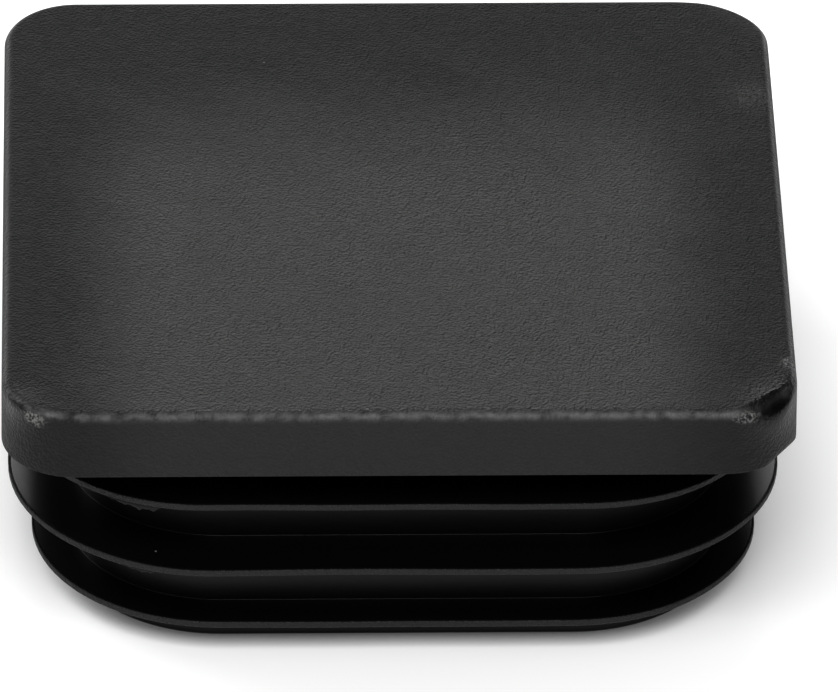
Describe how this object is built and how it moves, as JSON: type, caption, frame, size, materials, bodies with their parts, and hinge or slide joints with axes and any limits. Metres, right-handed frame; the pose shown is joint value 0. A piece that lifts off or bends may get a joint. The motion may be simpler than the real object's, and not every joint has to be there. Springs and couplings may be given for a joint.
{
  "type": "square tube end cap",
  "caption": "Ribbed plastic end cap for a square tube: a flat head with rounded corners over a hollow core, ringed by thin flexible fins that grip inside the tube.",
  "frame": {"origin": "centre of the seat, the underside of the head that lies on the tube's end", "axes": "+Z out of the tube, through the middle of the head; X and Y square to the head's sides; the core and its fins point along -Z, into the tube"},
  "size_m": [0.05, 0.05, 0.0194],
  "materials": {
    "black_polyethylene": "fine spark-eroded grain on the head, smoother core and fins"
  },
  "bodies": {
    "root": {"end_cap": "black_polyethylene"}
  },
  "joints": []
}
